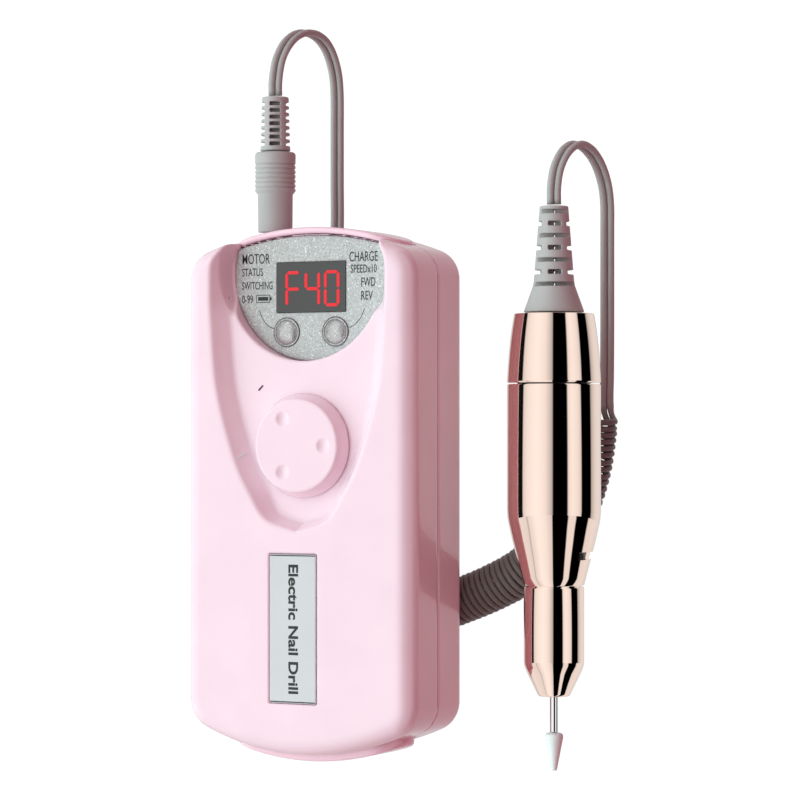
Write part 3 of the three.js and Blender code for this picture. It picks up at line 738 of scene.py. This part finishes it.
def front_field(x, y, z):
    """The front shell: its outside, the scoop and pocket cut into it, and what is hollow behind them."""
    outline = case_outline(x, y)
    crown = 0.25 * np.minimum(np.abs(x) / HALF_WIDTH, 1) ** 2
    scoop = scoop_outline(x, y)
    body = rounded_meet(outline, z - FRONT + crown, FRONT_ROUND)
    body = soft_max(body, -scoop_channel(x, y, z, scoop), SCOOP_EDGE)
    pocket = both(from_pocket(x, y), outline + POCKET_RIM, (FRONT - POCKET_DEPTH) - z)
    body = soft_max(body, -pocket, 0.45)
    label = box_outline(x, y, LABEL_X, LABEL_Y, LABEL_WIDTH + 0.6, LABEL_LENGTH + 0.6)
    inside = both(outline + WALL, z - (FRONT - 2.4))
    inside = cut(inside, both(scoop - 1, (FRONT - SCOOP_DEPTH - 2) - z),
                 both(from_pocket(x, y) - 1.8, (FRONT - POCKET_DEPTH - 1.8) - z),
                 screw_axes(x, y) - POST_RADIUS)
    body = cut(body, both(label, FRONT - 1.1 - z), inside,
               both(screw_axes(x, y) - 1.4, z - 42),
               both(np.hypot(x, y - KNOB_Y) - 3.6, 38 - z),
               box_outline(x, y, 0, DISPLAY_Y, 22, 13.8), key_axes(x, y) - 2.3,
               lip_room(x, y, z), plug_bore(x, y, z), charge_slot(x, y, z), socket_room(x, y, z))
    return rounded_meet(body, SEAM - z, 0.15)


def back_field(x, y, z):
    """The back shell, with its screw holes sunk and two holes for the belt clip's screws."""
    outline = case_outline(x, y)
    screws = screw_axes(x, y)
    body = rounded_meet(outline, BACK - z, BACK_ROUND)
    inside = cut(both(outline + WALL, BACK + WALL - z), screws - POST_RADIUS)
    body = cut(body, inside, screws - 1.5)
    body = soft_max(body, -both(screws - 2.8, z - BACK - 2.2), 0.3)
    body = cut(body, *(np.hypot(x, y - place) - 1.5 for place in CLIP_SCREWS))
    body = cut(body, lip_room(x, y, z), plug_bore(x, y, z), charge_slot(x, y, z), socket_room(x, y, z))
    return rounded_meet(body, z - (SEAM - 0.15), 0.15)


def lip_field(x, y, z):
    """Both end lips: bands that stand proud of the case's ends."""
    outline = case_outline(x, y)
    proud = np.where(y > 0, TOP_PROUD, BOTTOM_PROUD)
    band = rounded_meet(outline - proud, -(outline + 1), 0.7)
    body = cut(rounded_meet(band, lip_stadium(x, z), 0.9), plug_bore(x, y, z))
    return soft_max(body, -charge_slot(x, y, z), 0.3)


STEP = 0.55


def make_case():
    reach = np.array([HALF_WIDTH + 1.3, HALF_LENGTH + 1.3])
    for name, field, low, high in (("front_shell", front_field, SEAM - 1.2, FRONT + 1.2),
                                   ("back_shell", back_field, BACK - 1.2, SEAM + 1)):
        points, quads = surface_net(field, (*-reach, low), (*reach, high), STEP)
        piece(name + "_moulding", in_case(points), quads, "case_pink", "root", nodes=[name])
    for name, low, high in (("top_end_cap", 62, 80), ("bottom_end_cap", -80, -64)):
        points, quads = surface_net(lip_field, (-30, low, LIP_LOW - 1.2), (30, high, LIP_HIGH + 1.2), 0.4)
        piece(name + "_moulding", in_case(points), quads, "cap_pink", "root", [name])


make_case()


# ---------- panel ----------
def plate_field(x, y, z):
    """The control panel, with its display window and key holes."""
    disc = both(from_pocket(x, y) + 0.12, case_outline(x, y) + POCKET_RIM + 0.12)
    body = rounded_meet(disc, np.abs(z - (PLATE_TOP - PLATE_HALF)) - PLATE_HALF, 0.2)
    window = box_outline(x, y, 0, DISPLAY_Y, DISPLAY_WIDTH + 0.2, DISPLAY_HEIGHT + 0.2, 0.1)
    return cut(body, window, key_axes(x, y) - BUTTON_RADIUS - 0.15)


def make_panel():
    points, quads = surface_net(plate_field, (-26, 36, 38), (26, 76, 40.4), 0.3)
    piece("face_plate_lacquered", in_case(points), quads, "panel_silver", "root", nodes=["face_plate"])
    for sign, name, body in ((-1, "left_button", "left_key"), (1, "right_button", "right_key")):
        stem = [(0, 35.4), (1.6, 35.4), (1.6, 39.1), (3.9, 39.1)]
        ring = arc(3.85, 39.75, 0.2, 0, 90, 4) + [(3.7, 39.96), (3.6, 39.6), (3.5, 39.62)]
        dome = [(3.42, 40), (3.1, 40.27), (2.4, 40.63), (1.6, 40.87), (0.8, 40.98), (0, 41.01)]
        centre = (CASE_X + sign * BUTTON_X, CASE_Y + BUTTON_Y, 0)
        turned(name + "_domed", stem + ring + dome, centre, "key_silver", body, [name],
               sides=72, sharp=50, axis="z")


make_panel()


def make_knob():
    """The speed knob: a flared skirt, a rounded rim and three finger dimples in a flat face."""
    base, top = knob_low[2], knob_high[2]
    skirt = [(0, base), (14.6, base), (14.95, base + 0.25), (14.9, base + 0.7)]
    skirt += [(14.4, base + 1.7), (13.95, base + 2.8), (13.6, base + 3.5)]
    skirt += arc(12.75, top - 0.75, 0.75, 20, 80, 3)
    rings = [*skirt, *[(r, top) for r in np.linspace(12.5, 0.25, 50)]]
    sides = 192
    centre = np.array([CASE_X, CASE_Y + KNOB_Y, 0])
    points, faces = [centre + [0, 0, base]], []
    dimples = [(8.8 * math.cos(a), 8.8 * math.sin(a)) for a in np.radians([0, 120, 240])]
    for radius, height in rings[1:]:
        for a in np.arange(sides) * 2 * math.pi / sides:
            x, y = radius * math.cos(a), radius * math.sin(a)
            dip = 0.0
            if height == top:
                near = min(math.hypot(x - sx, y - sy) for sx, sy in dimples) / 2.2
                dip = 0.8 * (1 - near * near) ** 1.2 if near < 1 else 0
            points.append(centre + [x, y, height - dip])
    points.append(centre + [0, 0, top])
    count = len(rings) - 1
    for i in range(sides):
        j = (i + 1) % sides
        faces.append((0, 1 + j, 1 + i))
        for k in range(count - 1):
            a, b = 1 + k * sides, 1 + (k + 1) * sides
            faces.append((a + i, a + j, b + j, b + i))
        last = 1 + (count - 1) * sides
        faces.append((last + i, last + j, len(points) - 1))
    piece("speed_knob_moulding", points, faces, "case_pink", "knob", nodes=["speed_knob"], sharp=50)


make_knob()


# ---------- display, label and lettering ----------
def flat_bar(x0, y0, x1, y1, width, z, point=0.5):
    """A display segment: a thin bar with pointed ends, as a flat six-sided outline."""
    a, b = np.array([x0, y0]), np.array([x1, y1])
    along = (b - a) / np.linalg.norm(b - a)
    side = np.array([-along[1], along[0]]) * width / 2
    tip = along * width * point
    outline = [a, a + tip + side, b - tip + side, b, b - tip - side, a + tip - side]
    return [(*p, z) for p in outline]


def thin_piece(name, outlines, material, body, thickness=0.06):
    """Flat outlines given a little thickness, all in one mesh."""
    vertices, faces = [], []
    for outline in outlines:
        start, count = len(vertices), len(outline)
        vertices += outline
        vertices += [(x, y, z - thickness) for x, y, z in outline]
        order = list(range(count))
        if sum(a[0] * b[1] - b[0] * a[1] for a, b in zip(outline, outline[1:] + outline[:1])) < 0:
            order = order[::-1]
        faces.append([start + i for i in order])
        faces.append([start + count + i for i in order[::-1]])
        for k in range(count):
            i, j = order[k], order[(k + 1) % count]
            faces.append((start + i, start + count + i, start + count + j, start + j))
    return piece(name, in_case(np.array(vertices)), faces, material, body, smooth=False)


SEGMENTS = {"F": "aefg", "4": "bcfg", "0": "abcdef"}  # lettered clockwise from the top, g in the middle


def make_digits():
    """Three lit digits of the display, each from the segments named above."""
    height, width, thick = 10.4, 5.1, 0.92
    half, gap, z = height / 2, 0.12, PLATE_TOP + 0.19
    bars = []
    for k, letter in enumerate("F40"):
        cx, cy = -5.85 + 6.35 * k, DISPLAY_Y - 0.5
        left, right = cx - width / 2 + thick / 2, cx + width / 2 - thick / 2
        top, bottom = cy + half - thick / 2, cy - half + thick / 2
        places = {
            "a": (left, top, right, top), "d": (left, bottom, right, bottom), "g": (left, cy, right, cy),
            "b": (right, cy, right, top), "c": (right, bottom, right, cy),
            "f": (left, cy, left, top), "e": (left, bottom, left, cy),
        }
        for segment in SEGMENTS[letter]:
            start, end = np.array(places[segment]).reshape(2, 2)
            short = unit(end - start) * gap
            bars.append(flat_bar(*(start + short), *(end - short), thick, z))
    thin_piece("display_digits", bars, "display_lit", "root", 0.08)


def lettering(name, lines, material, z, thickness=0.05):
    """Words as one mesh: each line is (text, x, y, cap height, width factor, turn, weight)."""
    vertices, faces = [], []
    for text, x, y, size, squeeze, turn, weight in lines:
        curve = bpy.data.curves.new("letters", "FONT")
        curve.body = text
        curve.size = size / 0.7
        curve.offset = weight
        curve.resolution_u = 4
        obj = add_object("letters", curve)
        bpy.context.view_layer.update()
        mesh = bpy.data.meshes.new_from_object(obj.evaluated_get(bpy.context.evaluated_depsgraph_get()))
        flat = np.array([v.co[:2] for v in mesh.vertices]).reshape(-1, 2) * [squeeze, 1]
        c, s = math.cos(turn), math.sin(turn)
        flat = flat @ np.array([[c, s], [-s, c]]) + [x, y]
        start = len(vertices)
        vertices += [(px, py, z) for px, py in flat]
        faces += [[start + i for i in p.vertices] for p in mesh.polygons]
        bpy.data.objects.remove(obj)
        bpy.data.meshes.remove(mesh)
        bpy.data.curves.remove(curve)
    obj = piece(name, in_case(np.array(vertices)), faces, material, None, smooth=False)
    solidify = obj.modifiers.new("thickness", "SOLIDIFY")
    solidify.thickness = thickness * MM
    solidify.offset = -1
    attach(obj, "root")
    return obj


def leader(points, width, z):
    """A thin curved line from a word to its key, as short flat quads."""
    line = smooth_curve([(*p, 0) for p in points], 8)[:, :2]
    tangent = unit(np.gradient(line, axis=0))
    side = np.stack([-tangent[:, 1], tangent[:, 0]], axis=1) * width / 2
    out = []
    for k in range(len(line) - 1):
        quad = [line[k] - side[k], line[k + 1] - side[k + 1], line[k + 1] + side[k + 1], line[k] + side[k]]
        out.append([(*p, z) for p in quad])
    return out


def rectangle(x0, y0, x1, y1, z):
    return [(x0, y0, z), (x1, y0, z), (x1, y1, z), (x0, y1, z)]


def make_marks():
    """The panel's words, its battery sign and the curved lines from the words to the keys."""
    z = PLATE_TOP + 0.04
    left, right = -23.0, 12.4
    words = [("MOTOR", left, 66.05, 2.9, 0.62), ("STATUS", left, 62.5, 2.3, 0.62),
             ("SWITCHING", left, 58.6, 2.25, 0.58), ("0-99", left, 54.65, 2.35, 0.62),
             ("CHARGE", right, 65.95, 2.85, 0.58), ("SPEEDx10", right + 0.5, 62.7, 2.35, 0.6),
             ("FWD", right + 3.8, 58.8, 2.55, 0.58), ("REV", right + 3.8, 54.95, 2.55, 0.62)]
    lettering("panel_words", [(*word, 0, 0.015) for word in words], "ink", z)
    x0, y0, x1, y1, line = -18.2, 54.7, -13.6, 57.0, 0.2
    frame_bars = [(x0, y0, x1, y0 + line), (x0, y1 - line, x1, y1),
                  (x0, y0, x0 + line, y1), (x1 - line, y0, x1, y1)]
    charge, cap = (x0 + 0.6, y0 + 0.6, x1 - 0.6, y1 - 0.6), (x1, y0 + 0.7, x1 + 0.5, y1 - 0.7)
    marks = [rectangle(*bar, z) for bar in (*frame_bars, charge, cap)]
    curve = [(-17.2, 52.4), (-16, 50), (-14.2, 48), (-12.3, 47.1)]
    marks += leader(curve, 0.18, z) + leader([(-x + 0.2, y) for x, y in curve], 0.18, z)
    thin_piece("panel_marks", marks, "ink", "root", 0.05)


def make_ticks():
    """Two small marks in the scoop: a dark bar on its floor, and a white bar on its sloping side that is a
    painted highlight, a glint.
    """
    # The white bar is a painted highlight: a glint drawn in white on the scoop's sloping side.
    ticks = (("dark_tick", -14.2, 29.9, SCOOP_DEPTH, 0, 0, "ink"),
             ("white_painted_glint", -19, 10.3, 2.1, 1.18, 0.36, "ceramic"))
    for name, x, y, depth, fall_x, fall_y, material in ticks:
        bar = flat_bar(x - 0.75, y - 0.75, x + 0.75, y + 0.75, 0.45, FRONT - depth + 0.12, 0.3)
        bar = [(px, py, pz - fall_x * (px - x) - fall_y * (py - y)) for px, py, pz in bar]
        thin_piece(name, [bar], material, "root", 0.4)


make_ticks()


def label_field(x, y, z):
    edge = box_outline(x, y, LABEL_X, LABEL_Y, LABEL_WIDTH, LABEL_LENGTH, 0.3)
    return rounded_meet(edge, np.abs(z - FRONT + 0.5) - 0.4, 0.12)


def make_label():
    """The satin label, its words down its length and a dark line at each end."""
    half, edge, z = LABEL_WIDTH / 2, LABEL_LENGTH / 2, FRONT - 0.06
    low = (LABEL_X - half - 0.6, LABEL_Y - edge - 0.6, FRONT - 1.3)
    high = (LABEL_X + half + 0.6, LABEL_Y + edge + 0.6, FRONT + 0.3)
    points, quads = surface_net(label_field, low, high, 0.25)
    piece("label_plate_satin", in_case(points), quads, "label_silver", "root", nodes=["label_plate"])
    words = ("Electric Nail Drill", LABEL_X - 1.3, LABEL_Y + 18.6, 3.0, 1.24, -math.pi / 2, 0.12)
    lettering("label_words", [words], "ink", z)
    left, right = LABEL_X - half + 0.2, LABEL_X + half - 0.2
    ends = (LABEL_Y - edge + 0.35, LABEL_Y + edge - 0.35)
    lines = [rectangle(left, end - 0.15, right, end + 0.15, z) for end in ends]
    thin_piece("label_lines", lines, "ink", "root", 0.05)


make_digits()
make_marks()
make_label()


# ---------- handpiece ----------
AT_HAND = (HAND_X, HAND_Y, HAND_Z)


def make_tubes():
    """The plated tubes, as [radius, height] round the handpiece's axis, heights from its own zero."""
    cap = [(10.2, 33.2), (11.1, 33.2), (11.22, 33.1), (11.55, 31.2), (11.95, 28.6), (12.35, 25.4),
           (12.7, 21.8), (12.98, 18.2), (13.16, 15), (13.2, 14.05), (13.1, 13.8), (11.9, 13.8),
           (11.7, 18), (10.6, 27), (9.6, 31.7), (4.5, 31.7), (4.5, 33.2), (10.2, 33.2)]
    turned("rear_cap_plated", cap, AT_HAND, "rose_gold", "handpiece", ["rear_cap"], sides=160, sharp=40)
    make_housing([(8.35, -43), (8.55, -42.8), (9.05, -40.8), (10.4, -35.6), (11.75, -30.3), (12.45, -27.2),
                  (12.85, -25.4), (13.08, -23.9), (13.2, -22), (13.2, 13.1), (13.05, 13.4), (11.9, 13.4),
                  (11.9, -24.2), (11.3, -27), (9.1, -35.6), (7.7, -43), (8.35, -43)])
    sleeve = [(3.0, -74.1), (4.2, -74.1), (4.5, -73.9), (4.75, -73.4), (6.3, -70.2), (7.6, -67.5),
              (8.15, -66.2), (8.42, -65.2), (8.5, -64.2), (8.5, -43.75), (8.3, -43.4), (7.3, -43.35),
              (7.3, -31), (6.7, -31), (6.7, -67), (3.0, -73), (3.0, -74.1)]
    turned("twist_sleeve_plated", sleeve, AT_HAND, "rose_gold", "twist", ["twist_sleeve"],
           sides=160, sharp=40)
    ring = [(7.35, -36.4), (8.55, -36.4), (9.3, -33), (7.35, -33), (7.35, -36.4)]
    turned("lock_ring", ring, AT_HAND, "lock_brown", "twist", sides=96)


def make_housing(profile):
    """The grip tube, with its lock window left open between two heights and two angles."""
    low, high = SLOT_Y - SLOT_HEIGHT / 2, SLOT_Y + SLOT_HEIGHT / 2
    rows = []
    for (r0, y0), (r1, y1) in zip(profile[:-1], profile[1:]):
        rows.append((r0, y0))
        for y in sorted((low, high), reverse=y1 < y0):
            if min(y0, y1) < y < max(y0, y1):
                rows.append((r0 + (r1 - r0) * (y - y0) / (y1 - y0), y))
    sides, count = 180, len(rows)
    angles = np.radians(np.arange(sides) * 360 / sides)
    points = [(r * math.sin(a), y, r * math.cos(a)) for r, y in rows for a in angles]
    in_window = [low - 1e-6 <= y <= high + 1e-6 for _, y in rows]
    open_side = [SLOT_FROM <= k * 360 / sides < SLOT_TO for k in range(sides)]

    def wall(k, i, n, j):
        """The face between rows k and n, and between angles i and j."""
        return (k * sides + i, k * sides + j, n * sides + j, n * sides + i)

    faces = []
    for k in range(count):
        n = (k + 1) % count
        for i in range(sides):
            if not (in_window[k] and in_window[n] and open_side[i]):
                faces.append(wall(k, i, n, (i + 1) % sides))
    bottom_out, top_out, top_in, bottom_in = [k for k in range(count) if min(
        abs(rows[k][1] - low), abs(rows[k][1] - high)) < 1e-6]
    first = open_side.index(True)
    last = (first + sum(open_side)) % sides
    for i in range(first, first + sum(open_side)):
        faces.append(wall(bottom_out, i % sides, bottom_in, (i + 1) % sides))
        faces.append(wall(top_in, i % sides, top_out, (i + 1) % sides))
    for side, (a, b, c, d) in ((first, (bottom_in, top_in, top_out, bottom_out)),
                               (last, (top_out, top_in, bottom_in, bottom_out))):
        faces.append(tuple(k * sides + side for k in (a, b, c, d)))
    piece("main_housing_plated", np.array(points) + AT_HAND, faces, "rose_gold", "handpiece",
          nodes=["main_housing"], sharp=40)


def make_bit():
    shank = [(0, -84.2), (1.1, -84.2), (1.175, -84.1), (1.175, -50.2), (1.0, -50), (0, -50)]
    turned("bit_shank_polished", shank, AT_HAND, "chrome", "bit", ["bit_shank"], sides=64)
    head = [(0, -95), (0.6, -95), (0.78, -94.9), (0.88, -94.6), (1.45, -91.6), (2.03, -88.6), (2.5, -86.2),
            (2.6, -85.4), (2.5, -84.9), (2.2, -84.6), (1.8, -84.45), (0, -84.4)]
    turned("bit_head_ceramic", head, AT_HAND, "ceramic", "bit", ["bit_head"], sides=96, sharp=60)


make_tubes()
make_bit()


# ---------- floor and light ----------
def make_floor():
    material = bpy.data.materials.new("floor_white")
    material.use_nodes = True
    shader = material.node_tree.nodes["Principled BSDF"]
    shader.inputs["Base Color"].default_value = (0.05, 0.05, 0.05, 1)
    shader.inputs["Roughness"].default_value = 0.9
    shader.inputs["Emission Color"].default_value = (1, 1, 1, 1)
    shader.inputs["Emission Strength"].default_value = 1.0
    mesh = bpy.data.meshes.new("floor")
    size = 3.0
    corners = [(-size, -size, 0), (size, -size, 0), (size, size, 0), (-size, size, 0)]
    mesh.from_pydata(corners, [], [(0, 1, 2, 3)])
    mesh.materials.append(material)
    floor = add_object("floor", mesh)
    floor.location.z = -0.0002
    floor.visible_glossy = False
    floor.visible_diffuse = False


# Brightness seen in polished metal, by the angle about +Y from straight up towards +X, in degrees.
# The first row is for tubes, the second for cones that narrow downwards.
TUBE_BANDS = [
    (-180, 0.75), (-100, 0.6), (-82, 0.02), (-60, 0.0), (-57, 0.8), (-45, 0.98), (-20, 1.12), (2, 0.98),
    (12, 0.75), (20, 0.5), (22, 0.0), (57, 0.0), (60, 0.9), (70, 1.05), (86, 0.95), (94, 0.75), (97, 0.0),
    (126, 0.0), (129, 0.5), (140, 0.75), (150, 0.85), (170, 0.85), (180, 0.75)]
CONE_BANDS = [
    (-180, 0.75), (-110, 0.7), (-100, 0.95), (-50, 0.85), (-47, 0.45), (-44, 0.85), (-20, 1.1), (2, 1.0),
    (19, 0.75), (21, 0.0), (59, 0.0), (62, 0.9), (80, 0.9), (83, 0.0), (119, 0.0), (122, 0.85), (150, 0.9),
    (180, 0.75)]
CONE_BELOW = -0.17  # reflections that run further down than this see the cones' bands
SUN = (-0.68, 0.08, 0.72)  # where the soft main light is strongest
SUN_LIGHT = (1.82, 2.72, 2.6)
ROOM_LIGHT = (0.41, 0.14, 0.17)


def make_light():
    """A plain white view, soft main light and rosy room light on matt surfaces, bands in polished ones."""
    scene = bpy.context.scene
    scene.view_settings.view_transform = "Standard"
    world = bpy.data.worlds.new("studio")
    scene.world = world
    world.use_nodes = True
    tree = world.node_tree
    tree.nodes.clear()

    def join(node, name, value):
        if isinstance(value, bpy.types.NodeSocket):
            tree.links.new(value, node.inputs[name])
        else:
            node.inputs[name].default_value = value

    def number(operation, a, b=0.0):
        node = tree.nodes.new("ShaderNodeMath")
        node.operation = operation
        join(node, 0, a)
        join(node, 1, b)
        return node.outputs[0]

    def mix(factor, a, b):
        node = tree.nodes.new("ShaderNodeMix")
        node.data_type = "RGBA"
        join(node, "Factor", factor)
        join(node, 6, a)
        join(node, 7, b)
        return node.outputs[2]

    place = tree.nodes.new("ShaderNodeTexCoord").outputs["Generated"]
    split = tree.nodes.new("ShaderNodeSeparateXYZ")
    tree.links.new(place, split.inputs[0])
    x, y, z = split.outputs
    turn = number("ADD", number("DIVIDE", number("ARCTAN2", x, z), 2 * math.pi), 0.5)
    tube, cone = (color_ramp(tree, turn, [((angle + 180) / 360, grey) for angle, grey in bands])
                  for bands in (TUBE_BANDS, CONE_BANDS))
    bands = mix(number("LESS_THAN", y, CONE_BELOW), tube, cone)

    toward = number("MULTIPLY", x, SUN[0])
    toward = number("ADD", toward, number("MULTIPLY", y, SUN[1]))
    toward = number("MAXIMUM", number("ADD", toward, number("MULTIPLY", z, SUN[2])), 0.0)
    toward = number("MULTIPLY", toward, toward)
    room, full = (*ROOM_LIGHT, 1), tuple(r + s for r, s in zip(ROOM_LIGHT, SUN_LIGHT))
    matt = mix(toward, room, (*full, 1))

    rays = tree.nodes.new("ShaderNodeLightPath").outputs
    light = mix(rays["Is Glossy Ray"], matt, bands)
    seen = mix(rays["Is Camera Ray"], light, (1, 1, 1, 1))
    back = tree.nodes.new("ShaderNodeBackground")
    join(back, "Color", seen)
    out = tree.nodes.new("ShaderNodeOutputWorld")
    tree.links.new(back.outputs[0], out.inputs["Surface"])


make_floor()
make_light()
